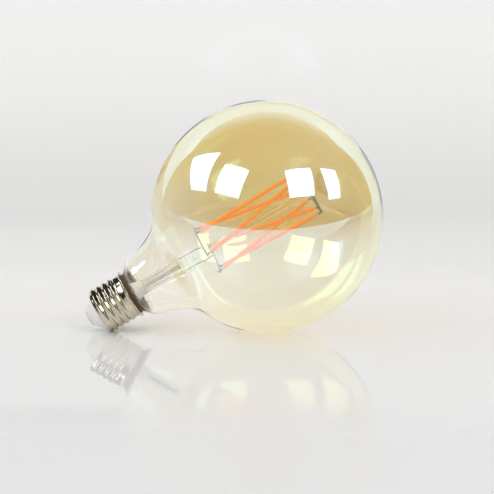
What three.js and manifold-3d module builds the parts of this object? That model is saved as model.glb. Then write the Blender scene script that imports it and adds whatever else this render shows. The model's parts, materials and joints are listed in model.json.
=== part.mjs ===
// A large globe filament LED lamp with an E27 screw cap, lying on its side: globe and cap both rest on
// the table. Millimetres, +Z up. Every piece is first built on the lamp's own axis, with z = 0 at the
// flat tip of the centre contact and z growing towards the globe, and the whole lamp is then laid down.
import * as THREE from "three";
import { mergeVertices } from "three/addons/utils/BufferGeometryUtils.js";
import Module from "manifold-3d";

const wasm = await Module();
wasm.setup();

// Driving dimensions: glass
const OVERALL_LENGTH = 175;
const GLOBE_RADIUS = 63;
const GLOBE_CENTRE = OVERALL_LENGTH - GLOBE_RADIUS;
const GLASS_WALL = 0.6;
const NECK_END = 21.6; // where the neck stops inside the cap
const NECK_RADIUS = 10.8;
const NECK_LEAVES_CAP = 27.4;
const GLOBE_STARTS = 62; // where the neck's curve runs into the globe

// Driving dimensions: cap
const SHELL_START = 7;
const LIP = 26.4;
const LIP_THICKNESS = 0.7;
const LIP_RADIUS = 13.7;
const SKIRT_RADIUS = 12.4;
const SKIRT_START = 22.8;
const SKIRT_BORE = 12;
const THREAD_PITCH = 3.629; // seven turns to the inch
const THREAD_CREST = 13.05;
const THREAD_ROOT = 12.13;
const THREAD_FIRST_CREST = 8.9; // on the lamp's upper side as it lies
const THREAD_BORE = 11.7;
const CONTACT_RADIUS = 4.6;
const CONTACT_THICKNESS = 0.8;
const GAP = 0.3; // clearance kept between pieces that touch

// Driving dimensions: stem and light source
const STEM_RADIUS = 4.1;
const STEM_BORE = 3.4;
const STEM_TOP = 57.5;
const PRESS_TOP = 65.5;
const PRESS_HALF_WIDTH = 5.6;
const PRESS_HALF_THICKNESS = 1.9;
const ROD_RADIUS = 1.5;
const LEAD_RADIUS = 0.28;
const LEAD_OFFSET = 2.6;
const PRESS_LEAD_OFFSET = 3.6;
const PRESS_HOLE_RADIUS = 0.8;
const LOWER_CROWN = 75;
const UPPER_CROWN = 139;
const LOWER_CROWN_RADIUS = 14;
const UPPER_CROWN_RADIUS = 13.2;
const CROWN_WIRE_RADIUS = 0.28;
const FILAMENTS = 6;
const FILAMENT_FIRST_ANGLE = 30;
const FILAMENT_TWIST = -55; // how far each filament turns about the axis on its way up
const FILAMENT_RADIUS = 1.05;
const FILAMENT_TAIL = 2.8; // bare metal end between the coated strip and the crown

// Driving dimensions: electronics in the cap
const BOARD_BOTTOM = 10.6;
const BOARD_THICKNESS = 1;
const BOARD_RADIUS = 9.6;
const BOARD_TOP = BOARD_BOTTOM + BOARD_THICKNESS;

// Facets
const ROUND = 36;
const SMALL_ROUND = 16;
const WIRE_SIDES = 6;

const FINISH = {
  amberGlass: { color: 0xd9b86a, roughness: 0.03, metalness: 0, transparent: true, opacity: 0.35 },
  clearGlass: { color: 0xe9ece6, roughness: 0.05, metalness: 0, transparent: true, opacity: 0.4 },
  phosphor: { color: 0xf09a2c, roughness: 0.6, metalness: 0 },
  nickelWire: { color: 0x6d665c, roughness: 0.35, metalness: 1 },
  nickelPlate: { color: 0xc9c4b8, roughness: 0.18, metalness: 1 },
  tin: { color: 0xb9b9b4, roughness: 0.35, metalness: 1 },
  whiteGlass: { color: 0xe8e7e2, roughness: 0.2, metalness: 0 },
  cement: { color: 0x6f6250, roughness: 0.9, metalness: 0 },
  circuitBoard: { color: 0x1f5c3a, roughness: 0.5, metalness: 0 },
  blackPlastic: { color: 0x1b1b1d, roughness: 0.5, metalness: 0 },
  ferrite: { color: 0x3a3a3c, roughness: 0.7, metalness: 0 },
  copper: { color: 0xb0623a, roughness: 0.35, metalness: 1 },
  aluminiumCan: { color: 0xa8adb2, roughness: 0.3, metalness: 1 },
  resistorBody: { color: 0x8a9fb5, roughness: 0.6, metalness: 0 },
  redInsulation: { color: 0x9c2f28, roughness: 0.6, metalness: 0 },
  blackInsulation: { color: 0x26262a, roughness: 0.6, metalness: 0 },
  whiteSleeve: { color: 0xdad6cc, roughness: 0.7, metalness: 0 },
};

const lamp = new THREE.Group();

function addPiece(name, finish, geometry) {
  const mesh = new THREE.Mesh(geometry, new THREE.MeshStandardMaterial(FINISH[finish]));
  mesh.name = name;
  lamp.add(mesh);
  return mesh;
}

const radians = (degrees) => THREE.MathUtils.degToRad(degrees);

function polar(radius, degrees, z) {
  const angle = radians(degrees);
  return new THREE.Vector3(radius * Math.cos(angle), radius * Math.sin(angle), z);
}

// Turns an outline of [radius, z] points about the lamp's axis.
function revolve(outline, segments = ROUND) {
  const points = outline.map(([radius, z]) => new THREE.Vector2(radius, z));
  return new THREE.LatheGeometry(points, segments).rotateX(Math.PI / 2);
}

function toSolid(geometry) {
  const bare = geometry.clone();
  bare.deleteAttribute("normal");
  bare.deleteAttribute("uv");
  const merged = mergeVertices(bare, 1e-4);
  const vertProperties = merged.attributes.position.array;
  const triVerts = new Uint32Array(merged.index.array);
  return new wasm.Manifold(new wasm.Mesh({ numProp: 3, vertProperties, triVerts }));
}

function toGeometry(solid) {
  const mesh = solid.getMesh();
  const geometry = new THREE.BufferGeometry();
  geometry.setAttribute("position", new THREE.BufferAttribute(mesh.vertProperties, 3));
  geometry.setIndex(new THREE.BufferAttribute(mesh.triVerts, 1));
  return geometry;
}

const cut = (geometry, tool) => toGeometry(toSolid(geometry).subtract(toSolid(tool)));

const join = (geometries) =>
  toGeometry(geometries.map(toSolid).reduce((whole, piece) => whole.add(piece)));

// A round wire swept along a curve.
function wireAlong(curve, radius, steps) {
  const section = new THREE.Shape();
  for (let side = 0; side < WIRE_SIDES; side++) {
    const angle = (2 * Math.PI * side) / WIRE_SIDES;
    const point = [radius * Math.cos(angle), radius * Math.sin(angle)];
    if (side === 0) section.moveTo(...point);
    else section.lineTo(...point);
  }
  return new THREE.ExtrudeGeometry(section, { steps, bevelEnabled: false, extrudePath: curve });
}

function smoothCurve(points) {
  const vectors = points.map(([x, y, z]) => new THREE.Vector3(x, y, z));
  return new THREE.CatmullRomCurve3(vectors, false, "centripetal");
}

class ArcAboutAxis extends THREE.Curve {
  constructor(radius, z, fromDegrees, toDegrees) {
    super();
    Object.assign(this, { radius, z, fromDegrees, toDegrees });
  }

  getPoint(t) {
    return polar(this.radius, THREE.MathUtils.lerp(this.fromDegrees, this.toDegrees, t), this.z);
  }
}

// Stands a piece built along +Z between two points.
function placeBetween(mesh, start, end) {
  const direction = end.clone().sub(start).normalize();
  mesh.position.copy(start);
  mesh.quaternion.setFromUnitVectors(new THREE.Vector3(0, 0, 1), direction);
}

const box = (x, y, z, width, depth, height) =>
  new THREE.BoxGeometry(width, depth, height).translate(x, y, z + height / 2);

const uprightCylinder = (x, y, z, radius, height) =>
  new THREE.CylinderGeometry(radius, radius, height, SMALL_ROUND)
    .rotateX(Math.PI / 2)
    .translate(x, y, z + height / 2);

// Globe arc from the neck's end of the globe to its far pole, as [radius, z] points.
function globeArc(radius, startZ) {
  const steps = 16;
  const startAngle = Math.acos((GLOBE_CENTRE - startZ) / radius);
  return Array.from({ length: steps + 1 }, (_, i) => {
    const angle = THREE.MathUtils.lerp(startAngle, Math.PI, i / steps);
    const onAxis = i === steps;
    return [onAxis ? 0 : radius * Math.sin(angle), GLOBE_CENTRE - radius * Math.cos(angle)];
  });
}

// The neck leaves the cap with a quick shoulder, widens slowly, then sweeps into the globe.
function neckCurve() {
  const globeRadiusHere = Math.sqrt(GLOBE_RADIUS ** 2 - (GLOBE_CENTRE - GLOBE_STARTS) ** 2);
  const curve = new THREE.SplineCurve([
    new THREE.Vector2(NECK_RADIUS, NECK_LEAVES_CAP),
    new THREE.Vector2(NECK_RADIUS + 1.6, NECK_LEAVES_CAP + 1.7),
    new THREE.Vector2(15.8, 32.2),
    new THREE.Vector2(18.2, 39),
    new THREE.Vector2(21.6, 48),
    new THREE.Vector2(26.2, 55),
    new THREE.Vector2(globeRadiusHere, GLOBE_STARTS),
  ]);
  return curve.getPoints(12).map((point) => [point.x, point.y]);
}

function glassEnvelope() {
  const neck = neckCurve();
  const outside = [[0, NECK_END], [NECK_RADIUS, NECK_END], ...neck];
  const insideNeck = neck.slice(0, -1).map(([radius, z]) => [radius - GLASS_WALL, z]);
  const innerRadius = GLOBE_RADIUS - GLASS_WALL;
  const boreStart = NECK_END - 1;
  const bore = NECK_RADIUS - GLASS_WALL;
  const inside = [[0, boreStart], [bore, boreStart], ...insideNeck, ...globeArc(innerRadius, GLOBE_STARTS)];
  outside.push(...globeArc(GLOBE_RADIUS, GLOBE_STARTS).slice(1));
  addPiece("glass_envelope", "amberGlass", cut(revolve(outside), revolve(inside)));
}

// Bell-mouthed glass tube that carries the light source.
function stemFlare() {
  const bellRadius = NECK_RADIUS - GLASS_WALL - GAP;
  const mouth = NECK_END + 0.2;
  const outline = [
    [bellRadius - 0.8, mouth],
    [bellRadius, mouth],
    [bellRadius, mouth + 0.7],
    [7.4, 25.2],
    [5.4, 28.6],
    [4.4, 32.6],
    [STEM_RADIUS, 38],
    [STEM_RADIUS, 51],
    [STEM_RADIUS + 1, STEM_TOP],
    [STEM_BORE + 1.1, STEM_TOP],
    [STEM_BORE, 51],
    [STEM_BORE, 38],
    [3.6, 32.4],
    [4.7, 28.2],
    [6.8, 24.6],
    [bellRadius - 0.8, mouth],
  ];
  addPiece("stem_flare_tube", "clearGlass", revolve(outline, 24));
}

// Flattened glass seal on top of the stem, pierced for the two lead wires and the exhaust tube.
function stemPress() {
  const corner = 1.6;
  const x = PRESS_HALF_WIDTH;
  const y = PRESS_HALF_THICKNESS;
  const outline = new THREE.Shape();
  outline.moveTo(x - corner, -y);
  outline.quadraticCurveTo(x, -y, x, 0);
  outline.quadraticCurveTo(x, y, x - corner, y);
  outline.lineTo(corner - x, y);
  outline.quadraticCurveTo(-x, y, -x, 0);
  outline.quadraticCurveTo(-x, -y, corner - x, -y);
  outline.closePath();
  for (const side of [-1, 1]) {
    const hole = new THREE.Path();
    hole.absarc(side * PRESS_LEAD_OFFSET, 0, PRESS_HOLE_RADIUS, 0, 2 * Math.PI);
    outline.holes.push(hole);
  }
  const depth = PRESS_TOP - STEM_TOP - GAP;
  const press = new THREE.ExtrudeGeometry(outline, { depth, bevelEnabled: false, curveSegments: 4 });
  addPiece("stem_press", "clearGlass", press.translate(0, 0, STEM_TOP + GAP));
}

// Pumping tube, sealed at its lower tip.
function exhaustTube() {
  const radius = 1.7;
  const bore = 1;
  const tip = 17;
  const top = STEM_TOP - 0.4;
  const outside = [[0, tip], [1, tip + 0.5], [radius, tip + 2], [radius, top], [0, top]];
  const inside = [[0, tip + 1.6], [bore, tip + 2.4], [bore, top + 1], [0, top + 1]];
  const tube = cut(revolve(outside, SMALL_ROUND), revolve(inside, SMALL_ROUND));
  addPiece("exhaust_tube", "clearGlass", tube);
}

// Glass rod that holds up the top crown, with a rounded bead over its end.
function centreRod() {
  const start = PRESS_TOP + GAP;
  const end = UPPER_CROWN + 3;
  const outline = [
    [0, start],
    [2.2, start],
    [ROD_RADIUS, start + 2],
    [ROD_RADIUS, end - 0.8],
    [0.9, end - 0.2],
    [0, end],
  ];
  addPiece("centre_rod", "clearGlass", revolve(outline, SMALL_ROUND));
}

// Two half rings: each is one pole of the supply and carries the lower ends of three filaments.
function lowerCrown() {
  const spans = { a: [150, 270], b: [-30, 90] };
  for (const [pole, [from, to]] of Object.entries(spans)) {
    const overhang = 4;
    const arc = new ArcAboutAxis(LOWER_CROWN_RADIUS, LOWER_CROWN, from - overhang, to + overhang);
    addPiece(`lower_crown_${pole}`, "nickelWire", wireAlong(arc, CROWN_WIRE_RADIUS, 16));
  }
}

// Full ring that joins the upper ends of all filaments, held on the rod by a collar and three spokes.
function upperCrown() {
  const collarBore = ROD_RADIUS + GAP;
  const collar = revolve(
    [
      [collarBore, UPPER_CROWN - 0.7],
      [collarBore + 0.7, UPPER_CROWN - 0.7],
      [collarBore + 0.7, UPPER_CROWN + 0.7],
      [collarBore, UPPER_CROWN + 0.7],
      [collarBore, UPPER_CROWN - 0.7],
    ],
    SMALL_ROUND,
  );
  const ring = new THREE.TorusGeometry(UPPER_CROWN_RADIUS, CROWN_WIRE_RADIUS, WIRE_SIDES, ROUND);
  const spokes = [15, 135, 255].map((degrees) => {
    const start = polar(collarBore + 0.35, degrees, UPPER_CROWN);
    const end = polar(UPPER_CROWN_RADIUS, degrees, UPPER_CROWN);
    return wireAlong(new THREE.LineCurve3(start, end), CROWN_WIRE_RADIUS * 0.8, 1);
  });
  const crown = join([collar, ring.translate(0, 0, UPPER_CROWN), ...spokes]);
  addPiece("upper_crown", "nickelWire", crown);
}

// Each lead runs from the driver board, up the stem, through the press and out to its half ring.
function leadWires() {
  const onCrownA = polar(LOWER_CROWN_RADIUS - 0.5, 249, LOWER_CROWN - 1);
  const onCrownB = polar(LOWER_CROWN_RADIUS - 0.5, 65, LOWER_CROWN - 1);
  const routes = {
    a: { side: -1, foot: [-5.6, -2.4], bend: [-4.2, -1.6], end: onCrownA },
    b: { side: 1, foot: [3.6, -3.8], bend: [3.2, -2], end: onCrownB },
  };
  for (const [pole, { side, foot, bend, end }] of Object.entries(routes)) {
    const route = smoothCurve([
      [...foot, BOARD_TOP + GAP],
      [...foot, 13.6],
      [...foot, 15.6],
      [...bend, 18.2],
      [side * LEAD_OFFSET, 0, 22],
      [side * LEAD_OFFSET, 0, 30],
      [side * LEAD_OFFSET, 0, 50],
      [side * PRESS_LEAD_OFFSET, 0, STEM_TOP],
      [side * PRESS_LEAD_OFFSET, 0, STEM_TOP + 3],
      [side * PRESS_LEAD_OFFSET, 0, PRESS_TOP + 0.5],
      [end.x * 0.55 + side * 1.8, end.y * 0.45, LOWER_CROWN - 5],
      end.toArray(),
    ]);
    addPiece(`lead_wire_${pole}`, "nickelWire", wireAlong(route, LEAD_RADIUS, 40));
    const sleeve = revolve([[0.85, 12.2], [1.25, 12.2], [1.25, 15.2], [0.85, 15.2], [0.85, 12.2]], 10);
    addPiece(`lead_sleeve_${pole}`, "whiteSleeve", sleeve.translate(...foot, 0));
  }
}

// Coated LED strips, each with a bare metal tail at both ends that reaches its crown.
function filaments() {
  const clearOfCrown = CROWN_WIRE_RADIUS + GAP;
  for (let i = 0; i < FILAMENTS; i++) {
    const angle = FILAMENT_FIRST_ANGLE + (i * 360) / FILAMENTS;
    const bottom = polar(LOWER_CROWN_RADIUS, angle, LOWER_CROWN);
    const top = polar(UPPER_CROWN_RADIUS, angle + FILAMENT_TWIST, UPPER_CROWN);
    const span = bottom.distanceTo(top);
    const coatedStart = FILAMENT_TAIL;
    const coatedEnd = span - FILAMENT_TAIL;
    const strip = revolve(
      [
        [0, coatedStart],
        [FILAMENT_RADIUS * 0.7, coatedStart],
        [FILAMENT_RADIUS, coatedStart + 0.6],
        [FILAMENT_RADIUS, coatedEnd - 0.6],
        [FILAMENT_RADIUS * 0.7, coatedEnd],
        [0, coatedEnd],
      ],
      12,
    );
    placeBetween(addPiece(`filament_${i + 1}`, "phosphor", strip), bottom, top);
    const tail = [
      [0, clearOfCrown],
      [0.55, clearOfCrown + 0.1],
      [0.62, clearOfCrown + 0.6],
      [0.3, clearOfCrown + 1],
      [0.3, coatedStart - GAP],
      [0, coatedStart - GAP],
    ];
    placeBetween(addPiece(`lower_tail_${i + 1}`, "nickelWire", revolve(tail, WIRE_SIDES)), bottom, top);
    placeBetween(addPiece(`upper_tail_${i + 1}`, "nickelWire", revolve(tail, WIRE_SIDES)), top, bottom);
  }
}

// Outer radius of the screw shell at a height and an angle about the axis, thread included.
function shellRadius(z, degrees) {
  const { smoothstep, lerp } = THREE.MathUtils;
  const middle = (THREAD_CREST + THREAD_ROOT) / 2;
  const edge = lerp(THREAD_BORE, middle, smoothstep(z, SHELL_START - 0.6, SHELL_START + 1.2));
  const body = lerp(edge, SKIRT_RADIUS, smoothstep(z, SKIRT_START - 0.8, SKIRT_START + 0.8));
  const runIn = smoothstep(z, SHELL_START, SHELL_START + 2);
  const runOut = 1 - smoothstep(z, SKIRT_START - 1.2, SKIRT_START + 0.4);
  const depth = ((THREAD_CREST - THREAD_ROOT) / 2) * runIn * runOut;
  const turn = (z - THREAD_FIRST_CREST) / THREAD_PITCH + 0.5 - degrees / 360;
  return body + depth * Math.cos(2 * Math.PI * turn);
}

function shellRows() {
  const rowsPerTurn = 6;
  const threadRows = Math.round(((SKIRT_START + 1 - SHELL_START) / THREAD_PITCH) * rowsPerTurn);
  const threaded = Array.from({ length: threadRows + 1 }, (_, i) => {
    const z = SHELL_START + (i * (SKIRT_START + 1 - SHELL_START)) / threadRows;
    return { z, radiusAt: (degrees) => shellRadius(z, degrees) };
  });
  const plain = (z, radius) => ({ z, radiusAt: () => radius });
  return [
    ...threaded,
    plain(LIP - 0.9, SKIRT_RADIUS),
    plain(LIP - 0.3, SKIRT_RADIUS + 0.35),
    plain(LIP, LIP_RADIUS - 0.1),
    plain(LIP + LIP_THICKNESS / 2, LIP_RADIUS),
    plain(LIP + LIP_THICKNESS, LIP_RADIUS - 0.15),
    plain(LIP + LIP_THICKNESS, SKIRT_BORE + 1),
    plain(LIP - 0.2, SKIRT_BORE),
    plain(SKIRT_START + 0.4, SKIRT_BORE),
    plain(SKIRT_START, THREAD_BORE),
    plain(SHELL_START, THREAD_BORE - 0.2),
  ];
}

// Closed ring surface through a loop of rows, each row a circle with a radius for every angle.
function ringSurface(rows) {
  const positions = [];
  const index = [];
  rows.forEach((row, r) => {
    const nextRow = ((r + 1) % rows.length) * ROUND;
    for (let i = 0; i < ROUND; i++) {
      const degrees = (360 * i) / ROUND;
      const next = (i + 1) % ROUND;
      positions.push(...polar(row.radiusAt(degrees), degrees, row.z).toArray());
      index.push(r * ROUND + i, r * ROUND + next, nextRow + next);
      index.push(r * ROUND + i, nextRow + next, nextRow + i);
    }
  });
  const geometry = new THREE.BufferGeometry();
  geometry.setAttribute("position", new THREE.Float32BufferAttribute(positions, 3));
  return geometry.setIndex(index);
}

function capInsulator() {
  const face = CONTACT_THICKNESS + GAP;
  const rivetBore = 1.3;
  const rim = THREAD_BORE - 0.2 - GAP;
  const outline = [
    [rivetBore, face],
    [CONTACT_RADIUS + 0.5, face],
    [6.2, 2.2],
    [8.9, 4.9],
    [10.6, 6.5],
    [rim, 7.5],
    [rim, 8.4],
    [rim - 1, 8.4],
    [6.5, 6.8],
    [3, 4.6],
    [rivetBore, 4.6],
    [rivetBore, face],
  ];
  addPiece("cap_insulator", "whiteGlass", revolve(outline));
}

// Flat contact plate with the rivet that holds it in the insulator.
function centreContact() {
  const rivet = 1;
  const outline = [
    [0, 0],
    [CONTACT_RADIUS - 0.9, 0],
    [CONTACT_RADIUS - 0.25, 0.2],
    [CONTACT_RADIUS, CONTACT_THICKNESS],
    [rivet, CONTACT_THICKNESS],
    [rivet, 3.4],
    [0, 3.4],
  ];
  addPiece("centre_contact", "tin", revolve(outline, 24));
}

function basingCement() {
  const inner = NECK_RADIUS + GAP;
  const outer = SKIRT_BORE - GAP;
  const start = SKIRT_START + 1;
  const end = NECK_LEAVES_CAP;
  const ring = [[inner, start], [outer, start], [outer, end], [inner, end], [inner, start]];
  addPiece("basing_cement", "cement", revolve(ring));
}

function driverBoard() {
  const board = uprightCylinder(0, 0, BOARD_BOTTOM, BOARD_RADIUS, BOARD_THICKNESS);
  addPiece("driver_board", "circuitBoard", board);
  const onTop = BOARD_TOP + GAP;
  addPiece("bulk_capacitor", "aluminiumCan", uprightCylinder(5.2, 2.6, onTop, 3.15, 8));
  const drum = [[0, 0], [2.6, 0], [2.6, 0.9], [1.3, 0.9], [1.3, 4.1], [2.6, 4.1], [2.6, 5], [0, 5]];
  const coil = [[1.6, 1.2], [2.4, 1.2], [2.4, 3.8], [1.6, 3.8], [1.6, 1.2]];
  const inductorAt = [-1.4, -6.2, onTop];
  addPiece("inductor_core", "ferrite", revolve(drum, SMALL_ROUND).translate(...inductorAt));
  addPiece("inductor_winding", "copper", revolve(coil, SMALL_ROUND).translate(...inductorAt));
  const chipHeight = 1.5;
  const underneath = BOARD_BOTTOM - GAP - chipHeight;
  addPiece("bridge_rectifier", "blackPlastic", box(4.6, -1.5, underneath, 4.8, 3.9, chipHeight));
  addPiece("led_driver_chip", "blackPlastic", box(1.2, 5.4, underneath, 4.9, 3.9, chipHeight));
  const resistorRadius = 1.1;
  const resistor = new THREE.CylinderGeometry(resistorRadius, resistorRadius, 6, 12);
  resistor.translate(-4.4, 0, BOARD_BOTTOM - GAP - resistorRadius);
  addPiece("fusible_resistor", "resistorBody", resistor);
}

// Radio daughter board standing on the driver board, with its screening can and wire aerial.
function radio() {
  const foot = BOARD_TOP + GAP;
  addPiece("radio_board", "circuitBoard", box(-2.9, 4.6, foot, 0.8, 7.4, 7.2));
  addPiece("radio_shield", "aluminiumCan", box(-4.3, 4, foot + 0.8, 1.4, 5, 4.6));
  const height = 20.4;
  const route = [polar(8.6, 128, foot + 6.2), polar(9, 129, height - 0.6), polar(9.1, 140, height)];
  for (let degrees = 165; degrees <= 315; degrees += 25) route.push(polar(9.1, degrees, height));
  const aerial = smoothCurve(route.map((point) => point.toArray()));
  addPiece("aerial_wire", "copper", wireAlong(aerial, 0.3, 30));
}

function supplyWires() {
  const live = smoothCurve([
    [0, 0, 3.8],
    [-0.2, -0.3, 5.4],
    [-2.2, -2.6, 7.2],
    [-4, -4.4, 8.2],
    [-4.4, -3.6, 9],
  ]);
  addPiece("live_wire", "redInsulation", wireAlong(live, 0.45, 14));
  const neutral = smoothCurve([
    [6.8, -4.6, BOARD_TOP + GAP],
    [7, -4.8, 14],
    [8.2, -5.8, 17],
    [8.7, -6.1, 19.6],
  ]);
  addPiece("neutral_wire", "blackInsulation", wireAlong(neutral, 0.45, 12));
}

// The steepest lean at which the globe and one point of the cap's outline both touch the table.
function leanTouching(radius, z) {
  const reach = GLOBE_CENTRE - z;
  return Math.asin(GLOBE_RADIUS / Math.hypot(reach, radius)) - Math.atan2(radius, reach);
}

glassEnvelope();
stemFlare();
stemPress();
exhaustTube();
centreRod();
lowerCrown();
upperCrown();
leadWires();
filaments();
const rows = shellRows();
addPiece("screw_shell", "nickelPlate", ringSurface(rows));
capInsulator();
centreContact();
basingCement();
driverBoard();
radio();
supplyWires();

// Lay the lamp down: cap towards -X, globe towards +X, both on the table at z = 0, centred on the origin.
const lean = Math.min(...rows.map((row) => leanTouching(row.radiusAt(0), row.z)));
lamp.rotation.y = Math.PI / 2 - lean;
const reach = new THREE.Box3().setFromObject(lamp, true);
lamp.position.set(-(reach.min.x + reach.max.x) / 2, 0, -reach.min.z);

const globeLamp = new THREE.Group();
globeLamp.add(lamp);
export default globeLamp;
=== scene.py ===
"""A large gold globe filament lamp lying on a pale table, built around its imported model. Metres, +Z up.

Every fine piece is shaped in the lamp's own frame, in millimetres, with z = 0 at the flat tip of the
centre contact and z growing towards the globe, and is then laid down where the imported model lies.
"""
import json
import math

import bpy
from mathutils import Matrix, Vector


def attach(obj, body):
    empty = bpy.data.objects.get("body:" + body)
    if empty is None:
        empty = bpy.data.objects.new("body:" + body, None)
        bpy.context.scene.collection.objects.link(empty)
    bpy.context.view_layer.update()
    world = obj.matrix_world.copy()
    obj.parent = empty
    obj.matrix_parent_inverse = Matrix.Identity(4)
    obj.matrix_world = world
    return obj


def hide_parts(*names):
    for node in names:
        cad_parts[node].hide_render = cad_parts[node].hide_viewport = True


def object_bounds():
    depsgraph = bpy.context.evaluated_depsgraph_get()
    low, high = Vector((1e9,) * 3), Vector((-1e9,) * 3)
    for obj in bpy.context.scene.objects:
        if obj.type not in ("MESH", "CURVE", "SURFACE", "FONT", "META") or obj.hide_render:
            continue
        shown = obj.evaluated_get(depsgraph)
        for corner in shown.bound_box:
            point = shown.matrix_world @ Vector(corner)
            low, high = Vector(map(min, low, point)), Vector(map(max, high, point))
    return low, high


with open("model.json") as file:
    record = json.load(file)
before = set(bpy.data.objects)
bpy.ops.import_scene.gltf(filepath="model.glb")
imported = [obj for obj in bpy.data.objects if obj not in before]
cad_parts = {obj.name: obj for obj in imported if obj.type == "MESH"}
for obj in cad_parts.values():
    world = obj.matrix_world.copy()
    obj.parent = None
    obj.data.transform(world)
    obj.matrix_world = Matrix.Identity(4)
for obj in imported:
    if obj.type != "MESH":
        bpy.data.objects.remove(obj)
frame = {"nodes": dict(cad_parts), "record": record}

cad_low, cad_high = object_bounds()

MM = 0.001

# The lamp's own frame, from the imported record's mount on the centre contact
contact_mount = frame["record"]["mounts"][0]
TIP = Vector(contact_mount["pos_m"])
AXIS = -Vector(contact_mount["axis"]).normalized()
ACROSS = Vector((0, 1, 0))
LOWER_SIDE = ACROSS.cross(AXIS)
LAMP = Matrix((LOWER_SIDE, ACROSS, AXIS)).transposed().to_4x4()
LAMP.translation = TIP

# Driving dimensions in millimetres: glass
OVERALL_LENGTH = 175
GLOBE_RADIUS = 63
GLOBE_CENTRE = OVERALL_LENGTH - GLOBE_RADIUS
GLASS_WALL = 0.6
NECK_END = 21.6
NECK_RADIUS = 10.8
NECK_LEAVES_CAP = 27.4
GLOBE_STARTS = 62

# Cap
SHELL_START = 7
LIP = 26.4
LIP_THICKNESS = 0.7
LIP_RADIUS = 13.7
SKIRT_RADIUS = 12.4
SKIRT_START = 22.8
SKIRT_BORE = 12
THREAD_PITCH = 3.629
THREAD_CREST = 13.05
THREAD_ROOT = 12.13
THREAD_FIRST_CREST = 8.9
THREAD_BORE = 11.7
CONTACT_RADIUS = 4.6
GAP = 0.3

# Stem and light source
STEM_RADIUS = 4.1
STEM_BORE = 3.4
STEM_TOP = 57.5
PRESS_TOP = 65.5
PRESS_HALF_WIDTH = 5.6
PRESS_HALF_THICKNESS = 1.9
ROD_RADIUS = 1.5
LEAD_RADIUS = 0.28
BOARD_TOP = 11.6
LOWER_CROWN = 75
UPPER_CROWN = 139
LOWER_CROWN_RADIUS = 14
UPPER_CROWN_RADIUS = 13.2
CROWN_WIRE_RADIUS = 0.28
FILAMENTS = 6
FILAMENT_FIRST_ANGLE = 30
FILAMENT_TWIST = -55
FILAMENT_RADIUS = 1.05
FILAMENT_TAIL = 2.8
CHIP_PITCH = 1.6
CHIP_SWELL = 0.022

# Fineness of the finished meshes
GLOBE_SIDES = 144
GLOBE_ROWS = 80
CAP_SIDES = 192
FINE_SIDES = 48
WIRE_SIDES = 14
ON_AXIS = 1e-6


# ---------------------------------------------------------------- shapes in the lamp's frame

def make_piece(name, points, faces, finish, node, crease_angle=40):
    """A new piece from points in lamp millimetres, which stands for one CAD node."""
    mesh = bpy.data.meshes.new(name)
    mesh.from_pydata([LAMP @ (Vector(p) * MM) for p in points], [], faces)
    mesh.validate()
    mesh.shade_smooth()
    mesh.set_sharp_from_angle(angle=math.radians(crease_angle))
    piece = bpy.data.objects.new(name, mesh)
    bpy.context.scene.collection.objects.link(piece)
    piece.data.materials.append(finish)
    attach(piece, "root")
    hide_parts(node)
    return piece


def polar(radius, degrees, z):
    angle = math.radians(degrees)
    return Vector((radius * math.cos(angle), radius * math.sin(angle), z))


def arc(centre, radius, start_degrees, end_degrees, steps):
    """Points [radius, z] on an arc in the outline plane."""
    points = []
    for i in range(steps + 1):
        angle = math.radians(start_degrees + (end_degrees - start_degrees) * i / steps)
        points.append((centre[0] + radius * math.cos(angle), centre[1] + radius * math.sin(angle)))
    return points


def smooth_curve(points, steps_per_span, before=None, after=None):
    """A centripetal Catmull-Rom curve through the points; before and after steer its ends."""
    inner = [Vector(p) for p in points]
    first = Vector(before) if before else inner[0] * 2 - inner[1]
    last = Vector(after) if after else inner[-1] * 2 - inner[-2]
    control = [first, *inner, last]
    curve = [inner[0]]
    for p0, p1, p2, p3 in zip(control, control[1:], control[2:], control[3:]):
        t1 = (p1 - p0).length ** 0.5
        t2 = t1 + (p2 - p1).length ** 0.5
        t3 = t2 + (p3 - p2).length ** 0.5
        for i in range(1, steps_per_span + 1):
            t = t1 + (t2 - t1) * i / steps_per_span
            a1 = p0.lerp(p1, t / t1)
            a2 = p1.lerp(p2, (t - t1) / (t2 - t1))
            a3 = p2.lerp(p3, (t - t2) / (t3 - t2))
            b1 = a1.lerp(a2, t / t2)
            b2 = a2.lerp(a3, (t - t1) / (t3 - t1))
            curve.append(b1.lerp(b2, (t - t1) / (t2 - t1)))
    return curve


def rounded(outline, radius, steps=5):
    """The outline with each inner corner replaced by a small curve."""
    result = [outline[0]]
    for a, b, c in zip(outline, outline[1:], outline[2:]):
        a, b, c = Vector(a), Vector(b), Vector(c)
        cut = min(radius, (a - b).length * 0.45, (c - b).length * 0.45)
        start = b + (a - b).normalized() * cut
        end = b + (c - b).normalized() * cut
        for i in range(steps + 1):
            t = i / steps
            result.append(start.lerp(b, t).lerp(b.lerp(end, t), t))
    result.append(outline[-1])
    return result


def turned(outline, sides, place=lambda point: point):
    """Points and faces of an outline [radius, z] turned about z.

    The outline's ends close on the axis or on each other.
    """
    outline = [tuple(p) for p in outline]
    loop = outline[0] == outline[-1]
    rows = outline[:-1] if loop else outline
    points, ring_starts, faces = [], [], []
    for radius, z in rows:
        ring_starts.append(len(points))
        if radius < ON_AXIS:
            points.append(place(Vector((0, 0, z))))
            continue
        for side in range(sides):
            points.append(place(polar(radius, 360 * side / sides, z)))
    count = len(rows)
    for r in range(count if loop else count - 1):
        above = (r + 1) % count
        low, high = ring_starts[r], ring_starts[above]
        low_pole, high_pole = rows[r][0] < ON_AXIS, rows[above][0] < ON_AXIS
        for side in range(sides):
            nxt = (side + 1) % sides
            if low_pole:
                faces.append((low, high + nxt, high + side))
            elif high_pole:
                faces.append((low + side, low + nxt, high))
            else:
                faces.append((low + side, low + nxt, high + nxt, high + side))
    return points, faces


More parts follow.
